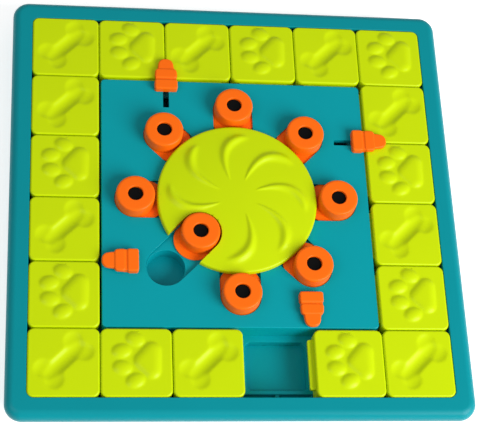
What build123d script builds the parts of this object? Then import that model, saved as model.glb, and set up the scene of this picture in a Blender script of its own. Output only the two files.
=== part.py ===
from build123d import *
import os
from math import atan, cos, degrees, pi, radians, sin

os.makedirs("parts", exist_ok=True)

# Sliding-tile treat puzzle for a dog. Millimetres, +Z up. The origin is on the
# surface that the feet stand on, under the middle of the wheel.

# Tile ring
tile_pitch = 62.0  # from one tile position to the next
tiles_per_side = 6
tile_gap = 0.5  # between two neighbouring tiles
tile_top = 36.0
tile_corner = 6.0
tile_crown = 1.8  # rounding of a tile's top edges
tile_wall = 2.4
tile_roof = 3.4
tile_runner = 20.6  # middle line of the square runner under a tile, from the tile's middle
tongue_reach = 5.0  # how far the tongues stand out on two sides
tongue_length = 45.6
tongue_low = 27.0
tongue_high = 31.0
tongue_clearance = 0.5
run_clearance = 0.3  # tile above the ledge it runs on

# Relief on the tiles
bone_length = 38.0  # between the middles of the two ends
bone_spread = 14.5  # between the two lobes of one end
bone_lobe = 7.4
bone_shaft = 11.0
bone_tilt = 44.5
bone_middle = 1.5  # the bone stands this far behind the tile's middle
bone_depth = 1.4
toe_length = 16.5
toe_width = 11.5
paw_height = 1.3

# Tray with the treat wells
ledge_top = 16.0
ledge_in = 5.2  # inner ledge beside the deck
ledge_under = 3.0  # and inside the deck's wall
rail_set_in = 12.0  # well edge to the rim's inner face
rail_width = 3.3  # outer rail that the tiles run on
rail_corner = 3.0
groove_floor = 10.0
groove_rib_top = 14.0
well_floor = 6.5
divider_width = 8.0
tray_bottom = 3.0
tray_draft = 6.0  # the outer wall leans in by this much
tray_wall = 3.2

# Rim frame
rim_width = 18.2
rim_top = 35.5
rim_bottom = 23.5
rim_round = 8.0
rim_corner = 15.0
rim_wall = 2.6
rim_inner_wall = 7.6
rim_overhang = 3.7  # over the tray's wall

# Deck inside the ring
deck_top = 34.0
deck_gap = 0.5
deck_draft = 1.2
deck_corner = 5.0
deck_edge = 1.0
deck_wall = 2.5
deck_floor = 2.5  # plate left under a track
slide_gap = 0.2  # sliders above the deck and the track

# Pegs, tracks and peg wells
peg_count = 8
peg_radius = 17.85
peg_top = 46.5
peg_head_radius = 17.4
peg_wall = 2.2
peg_flange = 1.75  # the foot plate is this much wider, and runs under the track's lips
peg_flange_thick = 1.5
peg_foot_in = 9.0  # the foot plate's inner round end stands this far from the head's middle
peg_round = 2.0
peg_wheel_gap = 1.65  # between a peg over its well and the wheel's edge
peg_travel = 43.0
peg_home_angle = 225.0  # the peg that stands in the wheel's notch
eye_radius = 6.85
eye_depth = 6.0
eye_pad_thick = 3.8
track_depth = 3.5
track_clearance = 0.45
track_end_wall = 1.0  # between a track's end and the groove for the tiles' tongues
peg_well_radius = 17.0
peg_well_floor = 16.0
cup_wall = 2.0
hub_recess = 58.0  # round recess under the wheel that joins the tracks

# Wheel
wheel_radius = 73.0
wheel_edge_top = 40.0
wheel_apex = 43.5
wheel_wall = 2.5
wheel_gap = 0.6  # between the wheel's edge and the deck
wheel_round = 2.0
notch_clearance = 1.35
swirl_count = 8
swirl_height = 1.2
swirl_first = 83.0
hub_radius = 13.0
stub_radius = 8.0
stub_clearance = 0.2
hub_boss_depth = 4.0
washer_thick = 2.4

# Locks in the shape of a hydrant
lock_length = 32.5
lock_width = 21.3
lock_top = 41.0
lock_travel = 20.5
lock_in_at = 90.0  # inner end of a lock that is pushed in
lock_step = 13.0  # the nose beyond this runs above the tiles
lock_nose_gap = 0.5
lock_neck = 16.5  # width where the nose begins
lock_tip = 12.0  # and where its round end begins
lock_tip_length = 4.0
lock_shoulder = 20.5  # the nose begins here
lock_groove = 0.9
stem_at = 4.7
stem_length = 4.5
stem_width = 5.0
slot_clearance = 0.3
keeper_thick = 2.4
keeper_width = 13.0
keeper_back = 7.0

# Fasteners and feet
screw_radius = 1.5
screw_head_radius = 2.6
screw_head = 1.8
pilot_gap = 0.05
screw_boss = 4.0
deck_screw_corner = 105.0
deck_screw_inner = 46.0
rim_screw_at = 140.0
foot_radius = 9.0
foot_recess = 0.8
foot_at = 168.0

# Worked out from the sizes above
ring_in = (tiles_per_side / 2 - 1) * tile_pitch
ring_out = tiles_per_side / 2 * tile_pitch
tile_size = tile_pitch - tile_gap
tile_bottom = ledge_top + run_clearance
groove_low = tongue_low - tongue_clearance
groove_high = tongue_high + tongue_clearance
tile_groove = tongue_reach - tile_gap + tongue_clearance
deck_groove_back = ring_in + tile_gap / 2 - tongue_reach - tongue_clearance
rim_groove_back = ring_out - tile_gap / 2 + tongue_reach + tongue_clearance
deck_foot = ring_in - deck_gap
grid_in = deck_foot - deck_wall - ledge_under
deck_taper = degrees(atan(deck_draft / (deck_top - ledge_top)))
track_floor = deck_top - track_depth
deck_underside = track_floor - deck_floor
rim_half = ring_out + rim_width
tray_top_half = rim_half - rim_overhang
tray_foot_half = tray_top_half - tray_draft
cover_half = ring_out - 1
slot_out = ring_out + tile_gap / 2
rail_in = ring_out - rail_set_in
notch_radius = peg_radius + notch_clearance
peg_well_at = wheel_radius + peg_radius + peg_wheel_gap
peg_in_at = peg_well_at - peg_travel
peg_foot_radius = peg_radius + peg_flange
peg_foot_out = deck_groove_back - track_end_wall - track_clearance - peg_foot_radius - peg_well_at
wheel_bottom = deck_top + wheel_gap
hub_boss_bottom = deck_underside - hub_boss_depth
middle = (tiles_per_side - 1) / 2


def square(half, corner):
    return RectangleRounded(2 * half, 2 * half, corner)


def plate(sketch, low, high, taper=0):
    return Pos(0, 0, low) * extrude(sketch, high - low, taper=taper)


def post(radius, low, high, x=0, y=0):
    return plate(Pos(x, y) * Circle(radius), low, high)


def save(solid, name):
    export_step(solid, f"parts/{name}.step")


def four_sides(points):
    return [(x * cos(radians(a)) - y * sin(radians(a)), x * sin(radians(a)) + y * cos(radians(a)))
            for a in (0, 90, 180, 270) for x, y in points]


# Places that several pieces share
ring_cells = [(i, j) for i in range(tiles_per_side) for j in range(tiles_per_side)
              if i in (0, tiles_per_side - 1) or j in (0, tiles_per_side - 1)]
deck_screw_points = (four_sides([(deck_screw_corner, deck_screw_corner)])
                     + four_sides([(deck_screw_inner, 0)]))
cover_screw_points = four_sides([(-tile_pitch, ring_out - tile_pitch / 2),
                                 (tile_pitch, ring_out - tile_pitch / 2)])
rim_screw_line = ring_out + rim_inner_wall / 2
rim_screw_points = four_sides([(-rim_screw_at, rim_screw_line), (0, rim_screw_line),
                               (rim_screw_at, rim_screw_line)])
foot_points = [(0, 0)] + four_sides([(foot_at, foot_at), (foot_at, 0)])
peg_angles = [k * 360 / peg_count for k in range(peg_count)]


def cell_centre(i, j):
    return (i - middle) * tile_pitch, (j - middle) * tile_pitch


def block(left, right, front, back):
    """Upright bar of the well grid."""
    return plate(Pos((left + right) / 2, (front + back) / 2) * Rectangle(right - left, back - front),
                 well_floor, ledge_top)


# Bottom cover: closes the tray and is the floor of the treat wells
def bottom_cover():
    cover = plate(square(cover_half, rim_corner - 6), tray_bottom, well_floor)
    for x, y in foot_points:
        cover -= post(foot_radius, tray_bottom, tray_bottom + foot_recess, x, y)
    for x, y in deck_screw_points + cover_screw_points:
        cover -= post(screw_radius + pilot_gap, tray_bottom, well_floor, x, y)
        cover -= post(screw_head_radius + pilot_gap, tray_bottom, tray_bottom + screw_head, x, y)
    return cover


def quarters(shape):
    """Cut a square ring into its four sides along the diagonals."""
    reach = 2 * rim_half
    wedge = plate(make_face(Polyline((0, 0), (reach, -reach), (reach, reach), close=True)), 0, rim_top)
    return Compound([shape & (Rot(0, 0, angle) * wedge) for angle in (0, 90, 180, 270)])


# Tray: four sides with the outer wall, and the rail and groove that the tiles run along
def base_tray():
    wall_taper = -degrees(atan(tray_draft / (rim_bottom - tray_bottom)))
    tray = plate(square(tray_foot_half, rim_corner - 4), tray_bottom, rim_bottom, wall_taper)
    tray -= plate(square(cover_half + pilot_gap, rim_corner - 6), tray_bottom, well_floor)
    tray -= plate(square(ring_out + rim_inner_wall + pilot_gap, 4.0), ledge_top, rim_bottom)
    tray -= plate(Rectangle(2 * rail_in, 2 * rail_in), well_floor, ledge_top)
    groove = square(slot_out, tile_corner) - square(rail_in + rail_width, rail_corner)
    tray -= plate(groove, groove_floor, ledge_top)
    rib_length = slot_out - rail_in - rail_width
    rib_middle = rail_in + rail_width + rib_length / 2
    for k in range(tiles_per_side):
        shift = (k - middle) * tile_pitch
        ribs = [(shift, 3.7)] if k == 0 else [(shift, 3.7), (shift - tile_pitch / 2, 1.8)]
        for along, width in ribs:
            for angle in (0, 90, 180, 270):
                rib = Pos(along, rib_middle) * Rectangle(width, rib_length)
                tray += plate(Rot(0, 0, angle) * rib, groove_floor, groove_rib_top)
    for x, y in rim_screw_points:
        tray -= post(screw_radius + pilot_gap, tray_bottom, ledge_top, x, y)
        tray -= post(screw_head_radius + pilot_gap, tray_bottom, tray_bottom + screw_head, x, y)
    return quarters(tray)


# Well grid: the inner ledge under the deck's edge, and the dividers between the treat wells
def well_grid():
    ledge_out = ring_in + ledge_in
    bars = [block(-ledge_out, grid_in, grid_in, ledge_out)]
    last = tiles_per_side // 2 - 1
    for k in range(-last, last + 1):
        low, high = k * tile_pitch - divider_width / 2, k * tile_pitch + divider_width / 2
        if abs(k) == last:
            low, high = min(low, -ledge_out) if k < 0 else low, max(high, ledge_out) if k > 0 else high
        bar = block(low, high, ledge_out, rail_in)
        for x, y in cover_screw_points:
            if low < x < high and y > ledge_out:
                bar -= post(screw_radius + pilot_gap, well_floor, ledge_top - 2, x, y)
        bars.append(bar)
    return Compound([Rot(0, 0, angle) * bar for angle in (0, 90, 180, 270) for bar in bars])


# Rim: a hollow square frame with a groove inside that holds the tiles' tongues down
def outer_rim():
    inner_out = ring_out + rim_inner_wall
    rim = plate(square(rim_half, rim_corner), rim_bottom, rim_top)
    rim = fillet(rim.edges().group_by(Axis.Z)[-1], rim_round)
    rim = fillet(rim.edges().group_by(Axis.Z)[0], 1.2)
    outside = square(rim_half - rim_wall, rim_corner - rim_wall) - square(inner_out, 4.0)
    rim -= plate(outside, rim_bottom + rim_wall, rim_top - rim_round)
    upper = square(rim_half - rim_round, rim_corner - rim_round) - square(inner_out, 4.0)
    rim -= plate(upper, rim_top - rim_round, rim_top - rim_wall)
    mouth = square(tray_top_half - tray_wall, 6.0) - square(inner_out, 4.0)
    rim -= plate(mouth, rim_bottom, rim_bottom + rim_wall)
    rim += plate(square(inner_out, 4.0), ledge_top, rim_bottom)
    rim -= plate(square(ring_out, tile_corner + tile_gap), ledge_top, rim_top)
    inner_edges = rim.edges().group_by(Axis.Z)[-1].filter_by(
        lambda e: max(abs(e.center().X), abs(e.center().Y)) < ring_out + 1)
    rim = fillet(inner_edges, 0.8)
    groove = square(rim_groove_back, 3.0) - square(ring_out - 1, 3.0)
    rim -= plate(groove, groove_low, groove_high)
    for x, y in rim_screw_points:
        rim -= post(screw_radius + pilot_gap, ledge_top, groove_low - 1, x, y)
    return rim


def oval(radius, inner, outer):
    """Outline with round ends whose middles stand at X = inner and X = outer."""
    bar = Pos((inner + outer) / 2, 0) * Rectangle(outer - inner, 2 * radius)
    return bar + Pos(inner, 0) * Circle(radius) + Pos(outer, 0) * Circle(radius)


def on_ray(shape, angle, distance):
    """Turn a shape made about the +X ray to an angle and move it out along it."""
    return Rot(0, 0, angle) * Pos(distance, 0) * shape


# Deck: hollow box with tapered sides, the groove for the tiles' tongues and the lock slots
def deck_shell():
    shell = plate(square(deck_foot, deck_corner), ledge_top, deck_top, deck_taper)
    shell = fillet(shell.edges().group_by(Axis.Z)[-1], deck_edge)
    inside = deck_foot - deck_wall
    shell -= plate(square(inside, 3.0), ledge_top, deck_underside, deck_taper)
    beam_in, beam_low = deck_groove_back - deck_wall, groove_low - deck_wall
    for angle in (0, 90):
        beam = Pos((beam_in + inside) / 2, 0) * Rectangle(inside - beam_in, 2 * inside - 1)
        shell += plate(Rot(0, 0, angle) * beam, beam_low, deck_underside)
    for angle in (0, 90):
        groove = Pos(deck_groove_back + ring_in / 2, 0) * Rectangle(ring_in, 2 * ring_in + 2)
        shell -= plate(Rot(0, 0, angle) * groove, groove_low, groove_high)
    slot_length = lock_travel + stem_length + 2 * slot_clearance
    slot = Rectangle(slot_length, stem_width + 2 * slot_clearance)
    slot_at = lock_in_at + stem_at - slot_clearance + slot_length / 2
    pocket_in = lock_in_at + stem_at - keeper_back
    pocket_out = lock_in_at + lock_travel + stem_at + stem_length + 2 * slot_clearance
    pocket = Rectangle(pocket_out - pocket_in, keeper_width + 1)
    for angle, shift in lock_places:
        cut = plate(Pos(slot_at, shift) * slot, beam_low, deck_top)
        cut += plate(Pos((pocket_in + pocket_out) / 2, shift) * pocket, beam_low, deck_underside)
        shell -= Rot(0, 0, angle) * cut
    for angle in peg_angles:
        shell -= on_ray(post(peg_well_radius + cup_wall, ledge_top, deck_underside), angle, peg_well_at)
    return shell


def deck_skirt(shell):
    return quarters(shell & plate(square(rim_half, rim_corner), ledge_top, deck_underside))


# The deck's plate: round recess under the wheel, radial tracks with lips and the peg wells' holes
def inner_deck(shell):
    deck = shell & plate(square(rim_half, rim_corner), deck_underside, deck_top)
    wide = peg_foot_radius + track_clearance
    narrow = peg_radius + track_clearance
    inner = hub_recess / 2 - peg_well_at
    lip_bottom = track_floor + slide_gap + peg_flange_thick + slide_gap
    deck -= post(hub_recess, track_floor, deck_top)
    for angle in peg_angles:
        under = plate(oval(wide, inner, peg_foot_out), track_floor, lip_bottom)
        deck -= on_ray(under, angle, peg_well_at)
        deck -= on_ray(plate(oval(narrow, inner, 0), track_floor, deck_top), angle, peg_well_at)
        deck -= on_ray(post(peg_well_radius, deck_underside, track_floor), angle, peg_well_at)
    deck += post(hub_radius + 1, track_floor, deck_top)
    return deck - post(stub_radius + stub_clearance, deck_underside, deck_top)


# Round cups under the deck that hold the treats below the pegs
def peg_cups():
    cup = post(peg_well_radius + cup_wall, peg_well_floor - cup_wall, deck_underside)
    cup -= post(peg_well_radius, peg_well_floor, deck_underside)
    return Compound([on_ray(cup, angle, peg_well_at) for angle in peg_angles])


# Screw posts and the wheel's boss under the deck
def deck_posts():
    posts = [post(hub_radius, hub_boss_bottom, deck_underside)
             - post(stub_radius + stub_clearance, hub_boss_bottom, deck_underside)]
    for x, y in deck_screw_points:
        pilot = post(screw_radius + pilot_gap, well_floor, deck_underside - 1, x, y)
        posts.append(post(screw_boss, well_floor, deck_underside, x, y) - pilot)
    return Compound(posts)


# Tile: hollow cap with tongues on its left and front sides, and grooves for the next
# tiles' tongues along its right and back sides
def tile_body():
    half = tile_size / 2
    tile = plate(RectangleRounded(tile_size, tile_size, tile_corner), tile_bottom, tile_top)
    tile = fillet(tile.edges().group_by(Axis.Z)[-1], tile_crown)
    depth = tongue_reach + tile_wall
    out = Pos(-half - tongue_reach + depth / 2, 0) * Rectangle(depth, tongue_length)
    tile += plate(out, tongue_low, tongue_high) + plate(Rot(0, 0, 90) * out, tongue_low, tongue_high)
    area = Rectangle(2 * tile_size, 2 * tile_size)
    groove = area - Pos(-half - tile_groove, -half - tile_groove) * area
    tile -= plate(groove, groove_low, groove_high)
    low = tile_size - 2 * tile_wall
    high = low - tile_groove
    roof = tile_top - tile_roof
    step = groove_low - tile_wall
    hollow = plate(Rectangle(low, low), tile_bottom, step)
    hollow += plate(Pos(-tile_groove / 2, -tile_groove / 2) * Rectangle(high, high), step, roof)
    runner = 2 * tile_runner + tile_wall
    inner = runner - 2 * tile_wall
    hollow -= plate(Rectangle(runner, runner) - Rectangle(inner, inner), tile_bottom, roof)
    return tile - hollow


def bone_cut():
    sketch = Rectangle(bone_length, bone_shaft)
    for x in (-bone_length / 2, bone_length / 2):
        for y in (-bone_spread / 2, bone_spread / 2):
            sketch += Pos(x, y) * Circle(bone_lobe)
        sketch += Pos(x * 0.86, 0) * Rectangle(bone_lobe * 2, bone_spread)
    return plate(Pos(0, bone_middle) * Rot(0, 0, bone_tilt) * sketch, tile_top - bone_depth, tile_top)


def paw_pads():
    toes = [(-1.0, 20.5, -20), (-12.8, 9.5, 8), (-12.4, -5.5, -12), (-1.2, -16.5, 20)]
    pads = Sketch()
    for x, y, tilt in toes:
        pads += Pos(x, y) * Rot(0, 0, tilt) * Ellipse(toe_length / 2, toe_width / 2)
    corners = [(4.5, 1.5, 6.5), (15.0, 11.5, 6.0), (15.0, -8.0, 6.0)]
    pads += make_hull([Pos(x, y) * CenterArc((0, 0), r, 0, 360) for x, y, r in corners])
    return plate(pads, tile_top, tile_top + paw_height)


# Peg: hollow round head on an oval foot plate that runs under the track's lips
def peg_body():
    bottom = track_floor + slide_gap
    foot_top = bottom + peg_flange_thick
    foot = plate(oval(peg_foot_radius, -peg_foot_in, peg_foot_out), bottom, foot_top)
    head = loft([Pos(0, 0, bottom) * Circle(peg_radius), Pos(0, 0, peg_top) * Circle(peg_head_radius)])
    head = fillet(head.edges().group_by(Axis.Z)[-1], peg_round)
    peg = foot + head
    peg -= post(peg_head_radius - peg_wall, bottom, peg_top - eye_depth - peg_wall)
    return peg - post(eye_radius, peg_top - eye_depth, peg_top)


def peg_eye():
    floor = peg_top - eye_depth
    pad = post(eye_radius - pilot_gap, floor, floor + eye_pad_thick)
    return fillet(pad.edges().group_by(Axis.Z)[-1], 0.6)


# Wheel: domed shell with a U notch at its edge and raised swirl ribs
def dome(rise, inset=0.0):
    """Solid under the wheel's domed top, raised or lowered by rise."""
    edge = wheel_radius - inset
    top, apex, bend = wheel_edge_top + rise, wheel_apex + rise, wheel_round
    curve = ThreePointArc((0, apex), (edge / 2, apex - (apex - top) / 4), (edge - bend, top))
    middle = (edge - bend * (1 - sin(pi / 4)), top - bend * (1 - cos(pi / 4)))
    corner = ThreePointArc((edge - bend, top), middle, (edge, top - bend))
    base = Polyline((edge, top - bend), (edge, wheel_bottom), (0, wheel_bottom), (0, apex))
    return revolve(Plane.XZ * make_face(curve + corner + base), Axis.Z)


def polar(radius, angle):
    return radius * cos(radians(angle)), radius * sin(radians(angle))


def swirl(angle):
    """Outline of one curved rib, whose outer end lies at the given angle."""
    inner, outer = polar(24, angle + 27), polar(63, angle)
    back = ThreePointArc(inner, polar(47, angle + 24), outer)
    front = ThreePointArc(outer, polar(47, angle + 14), inner)
    return make_face(back + front)


def wheel_disc():
    wheel = dome(0)
    ribs = [plate(swirl(swirl_first + k * 360 / swirl_count), wheel_bottom, wheel_apex + 3)
            for k in range(swirl_count)
            if abs(swirl_first + k * 360 / swirl_count - peg_home_angle) > 180 / swirl_count]
    crown = dome(swirl_height, wheel_wall)
    for rib in ribs:
        wheel += rib & crown
    wheel -= dome(-wheel_wall, wheel_wall)
    wheel += post(hub_radius, deck_top + slide_gap, wheel_apex - wheel_wall / 2)
    notch = Circle(notch_radius) + Pos(wheel_radius / 2, 0) * Rectangle(wheel_radius, 2 * notch_radius)
    wheel -= on_ray(plate(notch, wheel_bottom, wheel_apex + 3), peg_home_angle, peg_in_at)
    wheel += post(stub_radius, hub_boss_bottom - slide_gap, deck_top + slide_gap)
    return wheel - post(screw_radius + pilot_gap, hub_boss_bottom - slide_gap, deck_top)


def wheel_washer():
    top = hub_boss_bottom - slide_gap
    return post(hub_radius, top - washer_thick, top) - post(screw_radius + pilot_gap, top - washer_thick, top)


# Lock: hydrant-shaped slider, made pointing along +X with its inner end at X = 0
def lock_body():
    half, neck, tip = lock_width / 2, lock_neck / 2, lock_tip / 2
    block_end, band_end, tip_at = lock_shoulder * 0.56, lock_shoulder * 0.64, lock_length - lock_tip_length
    outline = [(0, half - 1.5), (1.5, half), (block_end, half), (block_end + 0.4, half - lock_groove),
               (band_end - 0.4, half - lock_groove), (band_end, half), (lock_shoulder - 2.5, half - 0.3),
               (lock_shoulder, neck), (tip_at, tip)]
    upper = Polyline(*outline)
    lower = Polyline(*[(x, -y) for x, y in outline])
    nose = ThreePointArc((tip_at, tip), (lock_length, 0), (tip_at, -tip))
    back = Line((0, half - 1.5), (0, -half + 1.5))
    sketch = make_face(upper + nose + lower + back)
    bottom = deck_top + slide_gap
    lock = plate(sketch, bottom, lock_top)
    lock = fillet(lock.edges().group_by(Axis.Z)[-1], 0.8)
    for at in (block_end / 3, (block_end + band_end) / 2, lock_shoulder + 1):
        lock -= Pos(at, 0, lock_top) * Box(0.8, lock_width + 2, 2 * lock_groove)
    lift = tile_top + lock_nose_gap
    nose_cut = Pos(lock_step + lock_length / 2, 0) * Rectangle(lock_length, lock_width + 2)
    lock -= plate(nose_cut, bottom, lift)
    stem = Pos(stem_at + stem_length / 2, 0) * Rectangle(stem_length, stem_width)
    key = Pos(lock_step + 1.2, 0) * Rectangle(2.4, 2.2)
    lock += plate(stem, deck_underside - slide_gap - keeper_thick, bottom)
    return lock + plate(key, bottom, lift)


def lock_keeper():
    length = keeper_back + stem_length
    top = deck_underside - slide_gap
    body = Pos(stem_at + stem_length - length / 2 + 0.1, 0) * Rectangle(length, keeper_width)
    hole = Rectangle(stem_length + 2 * pilot_gap, stem_width + 2 * pilot_gap)
    hole = Pos(stem_at + stem_length / 2, 0) * hole
    return plate(body - hole, top - keeper_thick, top)


def screw(shank_top, seat, head_bottom, head_radius=screw_head_radius):
    recess = Pos(0, 0, head_bottom) * Box(head_radius, 0.7, 1.2)
    other = Pos(0, 0, head_bottom) * Box(0.7, head_radius, 1.2)
    return post(head_radius, head_bottom, seat) + post(screw_radius, seat, shank_top) - recess - other


def group(shape, points):
    return Compound([Pos(x, y) * shape for x, y in points])


# Angle of a lock's ray, how far it stands beside that ray, and whether it is pushed out at rest
locks = {"lock_top": (90, tile_pitch, True), "lock_right": (0, tile_pitch, True),
         "lock_left": (180, tile_pitch, False), "lock_bottom": (270, tile_pitch, False)}
lock_places = [(angle, shift) for angle, shift, out in locks.values()]

save(bottom_cover(), "bottom_cover")
save(base_tray(), "base_tray")
save(well_grid(), "well_grid")
save(outer_rim(), "outer_rim")

shell = deck_shell()
save(inner_deck(shell), "inner_deck")
save(deck_skirt(shell), "deck_skirt")
save(peg_cups(), "peg_cups")
save(deck_posts(), "deck_posts")

foot = fillet(post(foot_radius, 0, tray_bottom + foot_recess).edges().group_by(Axis.Z)[0], 0.8)
save(group(foot, foot_points), "rubber_feet")
head_seat = tray_bottom + screw_head
save(group(screw(deck_underside - 4, head_seat, tray_bottom + 0.2), deck_screw_points), "deck_screws")
save(group(screw(ledge_top - 3, head_seat, tray_bottom + 0.2), cover_screw_points), "cover_screws")
save(group(screw(groove_low - 2, head_seat, tray_bottom + 0.2), rim_screw_points), "rim_screws")

save(wheel_disc(), "wheel_disc")
save(wheel_washer(), "wheel_washer")
washer_bottom = hub_boss_bottom - slide_gap - washer_thick
save(screw(deck_top - 2, washer_bottom, washer_bottom - 2, 4.0), "wheel_screw")

peg, eye = peg_body(), peg_eye()
for angle in peg_angles:
    distance = peg_in_at if angle == peg_home_angle else peg_well_at
    save(on_ray(peg, angle, distance), f"peg_{angle:03.0f}")
    save(on_ray(eye, angle, distance), f"peg_eye_{angle:03.0f}")

lock, keeper = lock_body(), lock_keeper()
for name, (angle, shift, out) in locks.items():
    place = Rot(0, 0, angle) * Pos(lock_in_at + (lock_travel if out else 0), shift)
    save(place * lock, name)
    save(place * keeper, name.replace("lock", "lock_keeper"))

# Column 1 to 6 from the left, row 1 to 6 from the front; the open position is column 4, row 1.
# Bones and paws take turns round the ring, starting with the paw to the right of the open position
blank, cut, pads = tile_body(), bone_cut(), paw_pads()
bone_tile, paw_tile = blank - cut, blank + pads
open_cell = (3, 0)
for i, j in ring_cells:
    if (i, j) == open_cell:
        continue
    turned = i > open_cell[0] or j == tiles_per_side - 1
    is_bone = (i + j) % 2 == turned
    x, y = cell_centre(i, j)
    save(Pos(x, y) * (bone_tile if is_bone else paw_tile), f"tile_c{i + 1}_r{j + 1}")
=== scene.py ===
import math

import bpy
from mathutils import Matrix, Vector


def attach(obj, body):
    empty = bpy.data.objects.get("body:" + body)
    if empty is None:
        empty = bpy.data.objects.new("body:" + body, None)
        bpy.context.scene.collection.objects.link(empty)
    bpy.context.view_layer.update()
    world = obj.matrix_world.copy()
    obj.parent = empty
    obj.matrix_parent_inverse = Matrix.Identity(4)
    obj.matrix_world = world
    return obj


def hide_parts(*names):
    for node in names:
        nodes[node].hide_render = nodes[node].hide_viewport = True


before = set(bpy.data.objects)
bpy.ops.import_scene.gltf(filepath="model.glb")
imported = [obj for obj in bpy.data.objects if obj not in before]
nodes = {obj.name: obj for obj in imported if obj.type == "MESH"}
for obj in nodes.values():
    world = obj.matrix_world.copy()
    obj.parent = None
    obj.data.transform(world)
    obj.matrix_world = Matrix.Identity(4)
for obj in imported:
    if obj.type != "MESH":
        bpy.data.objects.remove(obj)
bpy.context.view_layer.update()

# The pieces' sizes are written in millimetres and their angles in degrees
mm = 0.001

# Tray and bottom cover. The tray is one injection-moulded teal part with a ring of
# treat wells and the ledges that the tiles run on; the cover closes it from below.
TEAL = (0.0, 0.315, 0.365, 1)


def link(tree, start, end):
    tree.links.new(start, end)


def add_node(tree, kind, place, **settings):
    node = tree.nodes.new(kind)
    node.location = place
    for name, value in settings.items():
        setattr(node, name, value)
    return node


def surface_group():
    """Moulded skin: slow changes of tone, rubbed patches and a fine spark-eroded grain."""
    group = bpy.data.node_groups.new("moulded_skin", "ShaderNodeTree")
    sockets = group.interface
    sockets.new_socket("Colour", in_out="INPUT", socket_type="NodeSocketColor")
    for name in ("Roughness", "Mottle", "Rubbing", "Grain"):
        sockets.new_socket(name, in_out="INPUT", socket_type="NodeSocketFloat")
    sockets.new_socket("Colour", in_out="OUTPUT", socket_type="NodeSocketColor")
    for name in ("Roughness", "Height"):
        sockets.new_socket(name, in_out="OUTPUT", socket_type="NodeSocketFloat")
    given = add_node(group, "NodeGroupInput", (-1100, 0))
    result = add_node(group, "NodeGroupOutput", (500, 0))
    place = add_node(group, "ShaderNodeTexCoord", (-1100, -300))

    slow = add_node(group, "ShaderNodeTexNoise", (-850, 150))
    slow.inputs["Scale"].default_value = 22
    slow.inputs["Detail"].default_value = 3
    tone = add_node(group, "ShaderNodeMath", (-600, 150), operation="SUBTRACT")
    tone.inputs[1].default_value = 0.5
    scaled = add_node(group, "ShaderNodeMath", (-420, 150), operation="MULTIPLY_ADD")
    scaled.inputs[2].default_value = 1
    shade = add_node(group, "ShaderNodeVectorMath", (-200, 150), operation="SCALE")
    link(group, place.outputs["Object"], slow.inputs["Vector"])
    link(group, slow.outputs["Fac"], tone.inputs[0])
    link(group, tone.outputs[0], scaled.inputs[0])
    link(group, given.outputs["Mottle"], scaled.inputs[1])
    link(group, given.outputs["Colour"], shade.inputs[0])
    link(group, scaled.outputs[0], shade.inputs["Scale"])
    link(group, shade.outputs[0], result.inputs["Colour"])

    patches = add_node(group, "ShaderNodeTexNoise", (-850, -150))
    patches.inputs["Scale"].default_value = 75
    patches.inputs["Detail"].default_value = 5
    centred = add_node(group, "ShaderNodeMath", (-600, -150), operation="SUBTRACT")
    centred.inputs[1].default_value = 0.5
    rubbed = add_node(group, "ShaderNodeMath", (-420, -150), operation="MULTIPLY_ADD")
    link(group, place.outputs["Object"], patches.inputs["Vector"])
    link(group, patches.outputs["Fac"], centred.inputs[0])
    link(group, centred.outputs[0], rubbed.inputs[0])
    link(group, given.outputs["Rubbing"], rubbed.inputs[1])
    link(group, given.outputs["Roughness"], rubbed.inputs[2])
    link(group, rubbed.outputs[0], result.inputs["Roughness"])

    pits = add_node(group, "ShaderNodeTexNoise", (-850, -450))
    pits.inputs["Scale"].default_value = 1400
    pits.inputs["Detail"].default_value = 2
    height = add_node(group, "ShaderNodeMath", (-420, -450), operation="MULTIPLY")
    link(group, place.outputs["Object"], pits.inputs["Vector"])
    link(group, pits.outputs["Fac"], height.inputs[0])
    link(group, given.outputs["Grain"], height.inputs[1])
    link(group, height.outputs[0], result.inputs["Height"])
    return group


moulded_skin = surface_group()


def finish_material(name, colour, roughness, mottle, rubbing, grain, specular=0.16, metallic=0.0):
    """Material whose tone, gloss and grain come from the moulded skin."""
    material = bpy.data.materials.new(name)
    material.use_nodes = True
    tree = material.node_tree
    shader = tree.nodes["Principled BSDF"]
    shader.inputs["Specular IOR Level"].default_value = specular
    shader.inputs["Metallic"].default_value = metallic
    skin = add_node(tree, "ShaderNodeGroup", (-600, 100), node_tree=moulded_skin)
    skin.inputs["Colour"].default_value = colour
    amounts = {"Roughness": roughness, "Mottle": mottle, "Rubbing": rubbing, "Grain": grain}
    for name, amount in amounts.items():
        skin.inputs[name].default_value = amount
    bump = add_node(tree, "ShaderNodeBump", (-300, -200))
    bump.inputs["Strength"].default_value = 0.25
    bump.inputs["Distance"].default_value = 0.05 * mm
    link(tree, skin.outputs["Colour"], shader.inputs["Base Color"])
    link(tree, skin.outputs["Roughness"], shader.inputs["Roughness"])
    link(tree, skin.outputs["Height"], bump.inputs["Height"])
    link(tree, bump.outputs["Normal"], shader.inputs["Normal"])
    return material


def cover_with(obj, material):
    obj.data.materials.clear()
    obj.data.materials.append(material)


def alone(*objects):
    """Leave edit mode and select only these, the first one active."""
    if bpy.context.object and bpy.context.object.mode != "OBJECT":
        bpy.ops.object.mode_set(mode="OBJECT")
    bpy.ops.object.select_all(action="DESELECT")
    for obj in objects:
        obj.select_set(True)
    if objects:
        bpy.context.view_layer.objects.active = objects[0]


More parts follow.
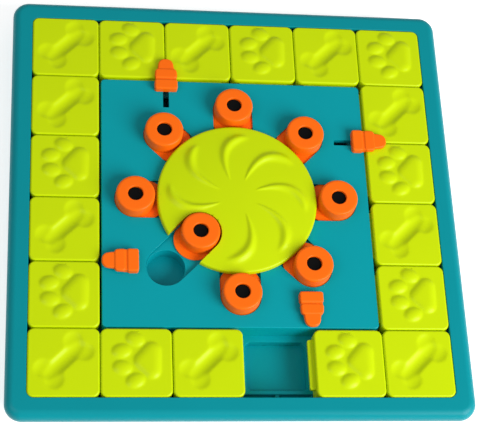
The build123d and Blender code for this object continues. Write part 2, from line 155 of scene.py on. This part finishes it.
def soften(obj, width, angle=50):
    """Small moulding radius on every remaining sharp edge, then smooth shading."""
    if width:
        modifier = obj.modifiers.new("radius", "BEVEL")
        modifier.width, modifier.segments = width * mm, 2
        modifier.limit_method, modifier.angle_limit = "ANGLE", math.radians(angle)
        modifier.use_clamp_overlap = False
        alone(obj)
        bpy.ops.object.modifier_apply(modifier=modifier.name)
    alone(obj)
    bpy.ops.object.shade_smooth_by_angle(angle=math.radians(40))
    modifier = obj.modifiers.new("weights", "WEIGHTED_NORMAL")
    modifier.keep_sharp = True
    bpy.ops.object.modifier_apply(modifier=modifier.name)
    return obj


def stands_for(obj, node, body):
    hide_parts(node)
    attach(obj, body)


def moulding_from(node, name, radius):
    """The frame's own solid with its mesh closed up, its edges eased and its faces smooth."""
    obj = bpy.data.objects.new(name, nodes[node].data.copy())
    obj.data.name = name
    bpy.context.scene.collection.objects.link(obj)
    alone(obj)
    bpy.ops.object.mode_set(mode="EDIT")
    bpy.ops.mesh.select_all(action="SELECT")
    bpy.ops.mesh.remove_doubles(threshold=0.002 * mm)
    bpy.ops.object.mode_set(mode="OBJECT")
    return soften(obj, radius)


def settle(obj):
    """Put the object's place, turn and size into its mesh."""
    alone(obj)
    bpy.ops.object.transform_apply(location=True, rotation=True, scale=True)
    return obj


def turned(profile, segments=96):
    """Round solid drawn up ring by ring through (radius, height) pairs."""
    alone()
    (radius, height), *rings = [(radius * mm, height * mm) for radius, height in profile]
    bpy.ops.mesh.primitive_circle_add(vertices=segments, radius=radius, fill_type="NGON",
                                      location=(0, 0, height))
    obj = settle(bpy.context.object)
    bpy.ops.object.mode_set(mode="EDIT")
    bpy.ops.mesh.select_all(action="SELECT")
    for next_radius, next_height in rings:
        bpy.ops.mesh.extrude_region_move(TRANSFORM_OT_translate={"value": (0, 0, next_height - height)})
        ratio = next_radius / radius
        bpy.ops.transform.resize(value=(ratio, ratio, 1), center_override=(0, 0, next_height))
        radius, height = next_radius, next_height
    bpy.ops.mesh.select_all(action="SELECT")
    bpy.ops.mesh.normals_make_consistent(inside=False)
    bpy.ops.object.mode_set(mode="OBJECT")
    return obj


def block(low, high):
    """Square-edged solid between two corners."""
    low, high = Vector(low) * mm, Vector(high) * mm
    alone()
    bpy.ops.mesh.primitive_cube_add(size=1, location=(low + high) / 2, scale=high - low)
    return settle(bpy.context.object)


def round_edges(obj, chosen, width, segments):
    """Bevel the edges that chosen(first end, second end) picks."""
    alone(obj)
    bpy.ops.object.mode_set(mode="EDIT")
    bpy.ops.mesh.select_mode(type="EDGE")
    bpy.ops.mesh.select_all(action="DESELECT")
    bpy.ops.object.mode_set(mode="OBJECT")
    points = obj.data.vertices
    for edge in obj.data.edges:
        edge.select = chosen(points[edge.vertices[0]].co, points[edge.vertices[1]].co)
    bpy.ops.object.mode_set(mode="EDIT")
    bpy.ops.mesh.bevel(offset=width * mm, segments=segments, affect="EDGES")
    bpy.ops.object.mode_set(mode="OBJECT")
    return obj


def upright(a, b):
    """Choice of the edges that rise."""
    return abs(a.z - b.z) > 1 * mm


def above(height):
    """Choice of the edges that lie over a height."""
    return lambda a, b: min(a.z, b.z) > height * mm


def joined(parts):
    alone(*parts)
    bpy.ops.object.join()
    return bpy.context.object


def combine(obj, tool, operation):
    """Add or cut away a tool solid, which is used up."""
    modifier = obj.modifiers.new("combine", "BOOLEAN")
    modifier.operation, modifier.object = operation, tool
    modifier.solver, modifier.use_self = "EXACT", True
    alone(obj)
    bpy.ops.object.modifier_apply(modifier=modifier.name)
    bpy.data.objects.remove(tool)
    return obj


TILE_PITCH = 62
PLACES = [(k - 2.5) * TILE_PITCH for k in range(6)]
QUARTERS = (0, 90, 180, 270)
# Half width, lowest point, highest point and corner radius of the tray's square forms
TRAY_WALL = (194.5, 3, 23.5, 11)
TRAY_WALL_TOP_HALF = 200.5
COVER_RECESS = (185.05, 2, 6.5, 9)
TILE_BED = (193.65, 16, 25, 4)
DECK_OPENING = (118, 5, 17, 4)
CHANNEL_OUTSIDE = (186.25, 10, 17, 6)
CHANNEL_INSIDE = (177.3, 9, 18, 6)
WELL_IN, WELL_OUT = 129.2, 174
WELL_ALONG = 27
WELL_FLOOR, WELL_TOP = 6, 17
WELL_CORNER = 5
CHANNEL_RIB_IN, CHANNEL_RIB_OUT = 177, 186.6
CHANNEL_RIB_BOTTOM, CHANNEL_RIB_TOP = 9.5, 14
THICK_RIB_HALF, THIN_RIB_HALF = 1.85, 0.9


def rounded_box(half, low, high, corner, top_half=None):
    """Square block about the origin with round upright corners, wider at the top if asked."""
    obj = round_edges(block((-half, -half, low), (half, half, high)), upright, corner, 6)
    ratio = (top_half or half) / half
    for point in obj.data.vertices:
        if point.co.z > (high - 0.01) * mm:
            point.co.x *= ratio
            point.co.y *= ratio
    return obj


def swung(obj, angle):
    """Turn a piece about the wheel's axis in its mesh."""
    obj.data.transform(Matrix.Rotation(math.radians(angle), 4, "Z"))
    return obj


tray = rounded_box(*TRAY_WALL, top_half=TRAY_WALL_TOP_HALF)
for hollow in (COVER_RECESS, TILE_BED, DECK_OPENING):
    combine(tray, rounded_box(*hollow), "DIFFERENCE")
channel = combine(rounded_box(*CHANNEL_OUTSIDE), rounded_box(*CHANNEL_INSIDE), "DIFFERENCE")
combine(tray, channel, "DIFFERENCE")
wells = []
for turn in QUARTERS:
    for place in PLACES[1:]:
        start, end = place - WELL_ALONG, place + WELL_ALONG
        if place == PLACES[-1]:
            start, end = WELL_IN, WELL_OUT
        well = block((start, WELL_IN, WELL_FLOOR), (end, WELL_OUT, WELL_TOP))
        wells.append(swung(round_edges(well, upright, WELL_CORNER, 5), turn))
combine(tray, joined(wells), "DIFFERENCE")
channel_ribs = []
for turn in QUARTERS:
    for place in PLACES:
        for at, half in ((place, THICK_RIB_HALF), (place + TILE_PITCH / 2, THIN_RIB_HALF)):
            rib = block((at - half, CHANNEL_RIB_IN, CHANNEL_RIB_BOTTOM),
                        (at + half, CHANNEL_RIB_OUT, CHANNEL_RIB_TOP))
            channel_ribs.append(swung(rib, turn))
combine(tray, joined(channel_ribs), "UNION")
soften(tray, 0.5)
tray.name = tray.data.name = "tray_moulding"
teal_plastic = finish_material("teal_moulding", TEAL, roughness=0.33, mottle=0.06, rubbing=0.08, grain=0.4)
cover_with(tray, teal_plastic)
stands_for(tray, "base_tray", "board")
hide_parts("well_grid")
cover_with(nodes["bottom_cover"], teal_plastic)

# Feet and screws. Grey rubber discs pressed into the cover's recesses, and plain steel
# self-tapping screws that hold the cover, the deck and the rim from below.
RUBBER_GREY = (0.055, 0.058, 0.06, 1)
STEEL_GREY = (0.42, 0.43, 0.44, 1)
rubber = finish_material("foot_rubber", RUBBER_GREY, roughness=0.75, mottle=0.15, rubbing=0.1, grain=1.0,
                         specular=0.3)
steel = finish_material("screw_steel", STEEL_GREY, roughness=0.38, mottle=0.08, rubbing=0.12, grain=0.2,
                        metallic=1.0)
cover_with(nodes["rubber_feet"], rubber)
for name in ("deck_screws", "cover_screws", "rim_screws", "wheel_screw"):
    cover_with(nodes[name], steel)

# Deck. A teal moulding screwed into the middle of the tray, with eight radial tracks, a
# round treat well at the end of each track and a slot for each lock.
deck = moulding_from("inner_deck", "deck_moulding", 0.3)
cover_with(deck, teal_plastic)
stands_for(deck, "inner_deck", "board")
for name in ("deck_skirt", "peg_cups", "deck_posts"):
    cover_with(nodes[name], teal_plastic)

# Wheel. A lime domed cap that turns on a stub in the deck, held by a washer and a screw
# from below. Seven curved ribs are moulded on it, and one U notch takes a peg.
LIME = (0.56, 0.725, 0.0, 1)
# Dark teal for the wheel washer and the lock keepers, a painted shade: the keepers show through the lock
# slots, and this makes the slots look as dark as shaded teal
PAINTED_SHADE_TEAL = (0.01, 0.15, 0.16, 1)
WHEEL_RADIUS = 73
WHEEL_BOTTOM = 34.6
WHEEL_EDGE = 40
WHEEL_TOP = 43.5
WHEEL_ROUND = 2
DOME_RINGS = [WHEEL_RADIUS - WHEEL_ROUND - k * 1.75 for k in range(1, 38)]
STUB = [(8, 23.8), (8, 35)]
NOTCH_ANGLE = 225
NOTCH_AT = 49.5
NOTCH_RADIUS = 19.2
RIB_STEP = 45
FIRST_RIB = 83
# Radius from the axis, angle past the outer end, and half width along one rib
RIB_LINE = [(20, 28.5, 1.2), (32, 27, 3.4), (44, 22.5, 4.8), (53, 15.5, 6.0), (59, 7.5, 6.0), (62, 1, 4.4),
            (62, -4, 1.2)]
RIB_HALF_WIDTH = 6.0
# Across and above the dome, round a section of one rib at its widest
RIB_SECTION = [(-6.3, -0.6), (-5.6, 0.0), (-3.9, 0.5), (-2.2, 2.4), (0, 3.0), (2.2, 2.4), (3.9, 0.5),
               (5.6, 0.0), (6.3, -0.6), (0, -1.2)]


def put(obj, angle, distance, shift=0):
    """Move a piece made about the origin out along a ray, and keep its place in its mesh."""
    turn = Matrix.Rotation(math.radians(angle), 4, "Z")
    obj.data.transform(turn @ Matrix.Translation((distance * mm, shift * mm, 0)))
    return obj


def copy_of(obj, name):
    """Second piece with its own mesh."""
    twin = obj.copy()
    twin.data = obj.data.copy()
    twin.name = twin.data.name = name
    bpy.context.scene.collection.objects.link(twin)
    return twin


def dome_height(radius):
    return WHEEL_TOP - (WHEEL_TOP - WHEEL_EDGE) * (radius / (WHEEL_RADIUS - WHEEL_ROUND)) ** 2


def new_path(length):
    """Curve of so many points, all still to be placed."""
    alone()
    bpy.ops.curve.primitive_nurbs_path_add()
    path = bpy.context.object
    spline = path.data.splines[0]
    spline.points.add(length - len(spline.points))
    return path, spline


def wheel_rib(angle):
    """A tapered path with a bell-shaped section, laid on the dome."""
    section, spline = new_path(len(RIB_SECTION))
    for point, (across, height) in zip(spline.points, RIB_SECTION):
        point.co = (across * mm, height * mm, 0, 1)
    spline.order_u = 3
    spline.use_cyclic_u = True
    settle(section)
    path, spline = new_path(len(RIB_LINE))
    for point, (radius, past, half_width) in zip(spline.points, RIB_LINE):
        turn = math.radians(angle + past)
        point.co = (radius * mm * math.cos(turn), radius * mm * math.sin(turn), 0, 1)
        point.radius = half_width / RIB_HALF_WIDTH
    spline.order_u = 4
    spline.use_endpoint_u = True
    path.data.resolution_u = 8
    path.data.bevel_mode = "OBJECT"
    path.data.bevel_object = section
    path.data.use_fill_caps = True
    settle(path)
    bpy.ops.object.convert(target="MESH")
    rib = bpy.context.object
    bpy.data.objects.remove(section)
    for point in rib.data.vertices:
        point.co.z += dome_height(math.hypot(point.co.x, point.co.y) / mm) * mm
    return rib


def pressed(sheet, tool, upwards, rounds, within=""):
    """Lift or sink the sheet's points onto the tool, then relax the new slopes."""
    modifier = sheet.modifiers.new("press", "SHRINKWRAP")
    modifier.target, modifier.wrap_method = tool, "PROJECT"
    modifier.vertex_group = within
    modifier.use_project_z = True
    modifier.use_positive_direction, modifier.use_negative_direction = upwards, not upwards
    alone(sheet)
    bpy.ops.object.modifier_apply(modifier=modifier.name)
    bpy.data.objects.remove(tool)
    modifier = sheet.modifiers.new("relax", "SMOOTH")
    modifier.iterations, modifier.factor = rounds, 0.5
    modifier.vertex_group = within
    bpy.ops.object.modifier_apply(modifier=modifier.name)
    return sheet


def on_dome(place):
    """Whether a point of the wheel may be lifted onto a rib."""
    return place.z > WHEEL_EDGE * mm and 8 * mm < math.hypot(place.x, place.y) < (WHEEL_RADIUS - 4) * mm


wheel_ribs = []
for k in range(360 // RIB_STEP):
    rib_angle = (FIRST_RIB + k * RIB_STEP) % 360
    if abs(rib_angle - NOTCH_ANGLE) > RIB_STEP / 2:
        wheel_ribs.append(wheel_rib(rib_angle))
wheel_edge = [(WHEEL_RADIUS, WHEEL_BOTTOM), (WHEEL_RADIUS, WHEEL_EDGE - WHEEL_ROUND),
              (WHEEL_RADIUS - 0.4, WHEEL_EDGE - 0.9), (WHEEL_RADIUS - 1.1, WHEEL_EDGE - 0.25),
              (WHEEL_RADIUS - WHEEL_ROUND, WHEEL_EDGE)]
wheel = turned(wheel_edge + [(ring, dome_height(ring)) for ring in DOME_RINGS], segments=240)
lifted = [point.index for point in wheel.data.vertices if on_dome(point.co)]
wheel.vertex_groups.new(name="dome").add(lifted, 1, "REPLACE")
pressed(wheel, joined(wheel_ribs), True, 3, within="dome")
wheel.vertex_groups.clear()
notch = turned([(NOTCH_RADIUS, WHEEL_BOTTOM - 1), (NOTCH_RADIUS, WHEEL_TOP + 5)])
mouth = block((0, -NOTCH_RADIUS, WHEEL_BOTTOM - 1), (60, NOTCH_RADIUS, WHEEL_TOP + 5))
combine(notch, mouth, "UNION")
combine(wheel, put(notch, NOTCH_ANGLE, NOTCH_AT), "DIFFERENCE")
combine(wheel, turned(STUB, segments=48), "UNION")
soften(wheel, 0.25, angle=40)
wheel.name = wheel.data.name = "wheel_cap"
lime_plastic = finish_material("lime_moulding", LIME, roughness=0.34, mottle=0.05, rubbing=0.08, grain=0.4)
cover_with(wheel, lime_plastic)
stands_for(wheel, "wheel_disc", "wheel")
painted_shade_plastic = finish_material("painted_shade_nylon", PAINTED_SHADE_TEAL, roughness=0.55, mottle=0.05, rubbing=0.08,
                                 grain=0.3, specular=0.2)
cover_with(nodes["wheel_washer"], painted_shade_plastic)

# Pegs. Eight orange hollow mouldings: a round head on an oval foot plate that slides
# under the track's lips, and a black rubber pad glued into a recess in the head.
ORANGE = (1.0, 0.155, 0.004, 1)
PAD_BLACK = (0.004, 0.0042, 0.0045, 1)
# Radius of the foot plate's round ends, and how far its inner and outer halves are drawn out
FOOT_RADIUS = 19.6
FOOT_DRAWN_IN = 9
FOOT_DRAWN_OUT = 5.2
FOOT_BOTTOM = 30.7
FOOT_TOP = 32.2
PEG_OUT_AT = 92.5
PEG_IN_AT = NOTCH_AT
HEAD_PROFILE = [(17.85, 31.0), (17.46, 44.4), (17.25, 45.35), (16.7, 46.05), (15.8, 46.42), (14.6, 46.5),
                (7.7, 46.5), (7.2, 46.35), (6.9, 45.9), (6.85, 45.2), (6.85, 40.5)]
EYE_PROFILE = [(6.8, 40.5), (6.8, 43.5), (6.6, 44.0), (6.1, 44.25), (5.2, 44.3), (3.0, 44.1), (1.0, 44.0)]

foot = turned([(FOOT_RADIUS, FOOT_BOTTOM), (FOOT_RADIUS, FOOT_TOP)], segments=66)
for point in foot.data.vertices:
    point.co.x += FOOT_DRAWN_OUT * mm if point.co.x > 0 else -FOOT_DRAWN_IN * mm
peg = soften(combine(turned(HEAD_PROFILE), foot, "UNION"), 0.35)
eye = soften(turned(EYE_PROFILE, segments=64), 0)
orange_plastic = finish_material("orange_moulding", ORANGE, roughness=0.36, mottle=0.05, rubbing=0.08,
                                 grain=0.4)
black_pad = finish_material("black_pad", PAD_BLACK, roughness=0.5, mottle=0.2, rubbing=0.15, grain=0.6,
                            specular=0.05)
cover_with(peg, orange_plastic)
cover_with(eye, black_pad)
for angle in range(0, 360, 45):
    at = PEG_IN_AT if angle == NOTCH_ANGLE else PEG_OUT_AT
    body = f"peg_{angle:03d}_body"
    head = put(copy_of(peg, f"peg_head_{angle:03d}"), angle, at)
    stands_for(head, f"peg_{angle:03d}", body)
    pad = put(copy_of(eye, f"peg_pad_{angle:03d}"), angle, at)
    stands_for(pad, f"peg_eye_{angle:03d}", body)
for pattern in (peg, eye):
    bpy.data.objects.remove(pattern)

# Locks. Four orange hydrant-shaped slides. The nose runs out over the seam of two tiles,
# the stem goes through the deck's slot, and a keeper is clipped on it underneath.
LOCK_IN_AT = 90
LOCK_TRAVEL = 20.5
LOCK_SHIFT = TILE_PITCH
LOCK_HALF = 10.65
LOCK_BOTTOM, LOCK_TOP = 34.2, 41
LOCK_LENGTH = 32.5
LOCK_CROWN = 1.6
BASE_END = 10.4
WAIST_HALF, WAIST_TOP, WAIST_END = 9.7, 40.1, 13.2
BAND_START, BAND_END, BAND_BOTTOM = 11.5, 21.6, 36.5
NOSE_HALF, NOSE_TOP, NOSE_BOTTOM = 8.3, 40.2, 36.6
KEY_LOW, KEY_HIGH = (13, -1.1, LOCK_BOTTOM), (15.4, 1.1, 38)
STEM_LOW, STEM_HIGH = (4.7, -2.5, 25.4), (9.2, 2.5, 36)
# Direction that each lock points in, and whether it is pushed out
LOCKS = {"top": (90, True), "right": (0, True), "left": (180, False), "bottom": (270, False)}


def narrowed(obj, beyond, ratio):
    """Draw the far end of a block together."""
    for point in obj.data.vertices:
        if point.co.x > beyond * mm:
            point.co.y *= ratio
    return obj


lock = block((0, -LOCK_HALF, LOCK_BOTTOM), (BASE_END, LOCK_HALF, LOCK_TOP))
round_edges(lock, upright, 2.2, 4)
round_edges(lock, above(LOCK_TOP - 0.1), LOCK_CROWN, 4)
waist = block((BASE_END - 2.4, -WAIST_HALF, LOCK_BOTTOM), (WAIST_END, WAIST_HALF, WAIST_TOP))
band = block((BAND_START, -LOCK_HALF, BAND_BOTTOM), (BAND_END, LOCK_HALF, LOCK_TOP))
narrowed(band, BAND_END - 1, 0.93)
round_edges(band, upright, 3.0, 5)
round_edges(band, above(LOCK_TOP - 0.1), LOCK_CROWN, 4)
nose = block((BAND_END - 4.6, -NOSE_HALF, NOSE_BOTTOM), (LOCK_LENGTH, NOSE_HALF, NOSE_TOP))
narrowed(nose, LOCK_LENGTH - 1, 0.76)
round_edges(nose, lambda a, b: upright(a, b) and a.x > (LOCK_LENGTH - 1) * mm, 5.4, 8)
round_edges(nose, above(NOSE_TOP - 0.1), 1.4, 4)
for part in (waist, band, nose, block(KEY_LOW, KEY_HIGH), block(STEM_LOW, STEM_HIGH)):
    combine(lock, part, "UNION")
soften(lock, 0.3, angle=38)
cover_with(lock, orange_plastic)
for side, (angle, out) in LOCKS.items():
    at = LOCK_IN_AT + (LOCK_TRAVEL if out else 0)
    piece = put(copy_of(lock, f"hydrant_{side}"), angle, at, LOCK_SHIFT)
    stands_for(piece, f"lock_{side}", f"lock_{side}_body")
    # The keeper seen down each slot carries the dark teal painted shade
    cover_with(nodes[f"lock_keeper_{side}"], painted_shade_plastic)
bpy.data.objects.remove(lock)

# Rim. A hollow teal frame with a full round outside, screwed onto the tray; a groove
# inside it holds the tiles' tongues down.
# The rim's teal is the tray's teal made about a sixth darker. This is a painted shade that keeps the rim's
# rounded faces, turned to the key lamp, from showing brighter than the deck
SHADED_RIM_TEAL = (0.0, 0.262, 0.306, 1)
shaded_rim_plastic = finish_material("rim_moulding", SHADED_RIM_TEAL, roughness=0.36, mottle=0.06, rubbing=0.08, grain=0.4)
rim = moulding_from("outer_rim", "rim_moulding", 0.3)
cover_with(rim, shaded_rim_plastic)
stands_for(rim, "outer_rim", "board")

# Tiles. Nineteen lime caps with a crowned edge. Ten have a bone sunk into the top and
# nine have a raised paw. Tongues on two sides run under the next tiles and the rim.
TILE = 61.5
TILE_BOTTOM = 16.3
TILE_TOP = 36.0
TILE_CORNER = 6
TILE_CROWN = 1.9
TONGUE_BOTTOM, TONGUE_TOP = 27.0, 31.0
TONGUE_HALF, TONGUE_REACH = 22.8, 5
GROOVE_BOTTOM, GROOVE_TOP = 26.5, 31.5
GROOVE_DEPTH = 5
HOLLOW_HALF, HOLLOW_TOP = 22.6, 32
SHEET_SIZE, SHEET_CELLS = 64, 84
# Column and row of the open position and of the tiles that can slide into it in turn
OPEN_PLACE = (3, 0)
MOVING = {(0, 0), (1, 0), (2, 0), (4, 0), (5, 0)}
# Half length, half width and half depth of the pillows that the pictures are pressed from
BONE_LOBE = (11.0, 10.2, 4.4)
BONE_SHAFT = (8.0, 8.2, 5.5)
TOE_PILLOW = (9.8, 7.6, 4.3)
BONE_TURN = 44.5
BONE_SHIFT = (0.3, 1.8)
# Across, along and turn of each toe, and across, along and radius of the main pad's corners
TOES = [(-1.1, 20.6, -22), (-12.8, 10.0, 8), (-12.2, -5.0, -12), (-1.1, -16.4, 20)]
PAD = [(5.5, 1.3, 8.4), (13.4, 10.6, 8.2), (13.2, -7.6, 7.8)]


def pillow(x, y, z, length, width, depth, turn=0):
    """Flattened ball with these half sizes."""
    alone()
    bpy.ops.mesh.primitive_uv_sphere_add(segments=40, ring_count=20, radius=mm,
                                         location=(x * mm, y * mm, z * mm),
                                         rotation=(0, 0, math.radians(turn)), scale=(length, width, depth))
    return settle(bpy.context.object)


def stretched(parts):
    """One pillow over several, as a skin pulled tight round them."""
    obj = joined(parts)
    bpy.ops.object.mode_set(mode="EDIT")
    bpy.ops.mesh.select_all(action="SELECT")
    bpy.ops.mesh.convex_hull()
    bpy.ops.object.mode_set(mode="OBJECT")
    return obj


def blended(obj, rounds):
    """Overlapping pillows melted into one skin."""
    modifier = obj.modifiers.new("melt", "REMESH")
    modifier.mode, modifier.voxel_size = "VOXEL", 0.7 * mm
    alone(obj)
    bpy.ops.object.modifier_apply(modifier=modifier.name)
    modifier = obj.modifiers.new("even", "SMOOTH")
    modifier.iterations, modifier.factor = rounds, 0.5
    bpy.ops.object.modifier_apply(modifier=modifier.name)
    return obj


def tile_outline():
    """The moulded cap without its picture: a crowned block with a plug standing on top."""
    half = TILE / 2
    form = block((-half, -half, TILE_BOTTOM), (half, half, TILE_TOP + 0.05))
    round_edges(form, upright, TILE_CORNER, 8)
    round_edges(form, above(TILE_TOP), TILE_CROWN, 5)
    alone(form)
    bpy.ops.object.mode_set(mode="EDIT")
    bpy.ops.mesh.select_mode(type="FACE")
    bpy.ops.mesh.select_all(action="DESELECT")
    bpy.ops.object.mode_set(mode="OBJECT")
    for face in form.data.polygons:
        face.select = face.normal.z > 0.99 and face.area > 1000 * mm * mm
    bpy.ops.object.mode_set(mode="EDIT")
    bpy.ops.mesh.inset(thickness=1 * mm)
    bpy.ops.mesh.extrude_region_move(TRANSFORM_OT_translate={"value": (0, 0, 3 * mm)})
    bpy.ops.object.mode_set(mode="OBJECT")
    return form


def tile_with(picture, raised, rounds):
    """Fine sheet pressed over the picture, closed into a block, cut to the cap's outline."""
    alone()
    bpy.ops.mesh.primitive_grid_add(x_subdivisions=SHEET_CELLS, y_subdivisions=SHEET_CELLS,
                                    size=SHEET_SIZE * mm, location=(0, 0, TILE_TOP * mm))
    tile = pressed(settle(bpy.context.object), picture, raised, rounds)
    alone(tile)
    bpy.ops.object.mode_set(mode="EDIT")
    bpy.ops.mesh.select_mode(type="EDGE")
    bpy.ops.mesh.select_all(action="SELECT")
    bpy.ops.mesh.region_to_loop()
    drop = (TILE_BOTTOM - 2 - TILE_TOP) * mm
    bpy.ops.mesh.extrude_region_move(TRANSFORM_OT_translate={"value": (0, 0, drop)})
    bpy.ops.mesh.edge_face_add()
    bpy.ops.mesh.select_all(action="SELECT")
    bpy.ops.mesh.normals_make_consistent(inside=False)
    bpy.ops.object.mode_set(mode="OBJECT")
    combine(tile, tile_outline(), "INTERSECT")
    half = TILE / 2
    for turn in (0, 90):
        tongue = block((-half - TONGUE_REACH, -TONGUE_HALF, TONGUE_BOTTOM),
                       (-half + 2, TONGUE_HALF, TONGUE_TOP))
        round_edges(tongue, upright, 1.5, 3)
        combine(tile, swung(tongue, turn), "UNION")
        groove = block((half - GROOVE_DEPTH, -half - 1, GROOVE_BOTTOM), (half + 1, half + 1, GROOVE_TOP))
        combine(tile, swung(groove, turn), "DIFFERENCE")
    hollow = block((-HOLLOW_HALF, -HOLLOW_HALF, TILE_BOTTOM - 1), (HOLLOW_HALF, HOLLOW_HALF, HOLLOW_TOP))
    combine(tile, hollow, "DIFFERENCE")
    return soften(tile, 0.3)


# The bone's pillows stand over the tile's top and press it down; the paw's stand below and
# push it up
z = TILE_TOP + 2.6
lobes = [pillow(x, y, z, *BONE_LOBE) for x in (-17.8, 17.8) for y in (-7.2, 7.2)]
shaft = stretched([pillow(x, 0, z, *BONE_SHAFT) for x in (-16.5, 16.5)])
bone = joined([shaft] + lobes)
bone.rotation_euler.z = math.radians(BONE_TURN)
bone.location = (BONE_SHIFT[0] * mm, BONE_SHIFT[1] * mm, 0)
bone_tile = tile_with(blended(settle(bone), 30), False, 14)
z = TILE_TOP - 2.0
toes = [pillow(x, y, z, *TOE_PILLOW, turn) for x, y, turn in TOES]
pad = blended(stretched([pillow(x, y, z, radius * 1.1, radius * 1.1, 4.6) for x, y, radius in PAD]), 8)
paw_tile = tile_with(joined([pad] + toes), True, 8)
for pattern in (bone_tile, paw_tile):
    cover_with(pattern, lime_plastic)
for column in range(6):
    for row in range(6):
        if (0 < column < 5 and 0 < row < 5) or (column, row) == OPEN_PLACE:
            continue
        shifted = column > OPEN_PLACE[0] or row == 5
        has_bone = (column + row) % 2 == shifted
        place = f"c{column + 1}_r{row + 1}"
        tile = copy_of(bone_tile if has_bone else paw_tile, f"tile_cap_{place}")
        tile.data.transform(Matrix.Translation((PLACES[column] * mm, PLACES[row] * mm, 0)))
        body = f"tile_{place}_body" if (column, row) in MOVING else "board"
        stands_for(tile, f"tile_{place}", body)
for pattern in (bone_tile, paw_tile):
    bpy.data.objects.remove(pattern)

# Floor: a plain white table top under the feet, lifted to clear white where the camera or a
# gloss sees it, with the object's shadow kept
FLOOR_WHITE = (0.9, 0.9, 0.9, 1)
FLOOR_LIFT = 0.55
alone()
bpy.ops.mesh.primitive_plane_add(size=8)
floor = bpy.context.object
floor.name = floor.data.name = "floor"
floor_material = bpy.data.materials.new("white_table")
floor_material.use_nodes = True
table = floor_material.node_tree
paint = table.nodes["Principled BSDF"]
paint.inputs["Base Color"].default_value = FLOOR_WHITE
paint.inputs["Roughness"].default_value = 0.7
paint.inputs["Emission Color"].default_value = (1, 1, 1, 1)
paths = add_node(table, "ShaderNodeLightPath", (-700, -200))
seen = add_node(table, "ShaderNodeMath", (-450, -200), operation="MAXIMUM")
lift = add_node(table, "ShaderNodeMath", (-250, -200), operation="MULTIPLY")
lift.inputs[1].default_value = FLOOR_LIFT
link(table, paths.outputs["Is Camera Ray"], seen.inputs[0])
link(table, paths.outputs["Is Glossy Ray"], seen.inputs[1])
link(table, seen.outputs[0], lift.inputs[0])
link(table, lift.outputs[0], paint.inputs["Emission Strength"])
cover_with(floor, floor_material)

# Light: one large soft lamp at the front right, a weak fill at the left, and an even room
ROOM_STRENGTH = 0.38
scene = bpy.context.scene
world = bpy.data.worlds.new("room")
world.use_nodes = True
room = world.node_tree.nodes["Background"]
room.inputs["Color"].default_value = (1, 1, 1, 1)
room.inputs["Strength"].default_value = ROOM_STRENGTH
scene.world = world


def soft_lamp(name, place, size, energy):
    """Round lamp that shines at the middle of the object."""
    alone()
    bpy.ops.object.light_add(type="AREA", location=place)
    lamp = bpy.context.object
    lamp.name = name
    lamp.data.shape = "DISK"
    lamp.data.size = size
    lamp.data.energy = energy
    lamp.rotation_euler = (-Vector(place)).to_track_quat("-Z", "Y").to_euler()


soft_lamp("key_lamp", place=(1.35, -1.15, 1.15), size=1.5, energy=50)
soft_lamp("fill_lamp", place=(-1.2, -0.6, 1.6), size=1.2, energy=6)

# Camera: above the front edge, left of the middle. Its turns are about the upright, the
# camera's own width, and its line of sight, in radians.
CAMERA_PLACE = (-0.18655, -0.55692, 1.21382)
CAMERA_TURNS = (-0.3337, 0.4541, 0.3208)
SENSOR_WIDTH = 36
FOCAL_LENGTH = 109.18
camera_data = bpy.data.cameras.new("camera")
camera_data.sensor_width = SENSOR_WIDTH
camera_data.lens = FOCAL_LENGTH
camera = bpy.data.objects.new("camera", camera_data)
scene.collection.objects.link(camera)
swing, tilt, roll = CAMERA_TURNS
camera.matrix_world = (Matrix.Translation(CAMERA_PLACE) @ Matrix.Rotation(swing, 4, "Z")
                       @ Matrix.Rotation(tilt, 4, "X") @ Matrix.Rotation(roll, 4, "Z"))
scene.camera = camera
scene.view_settings.view_transform = "Standard"
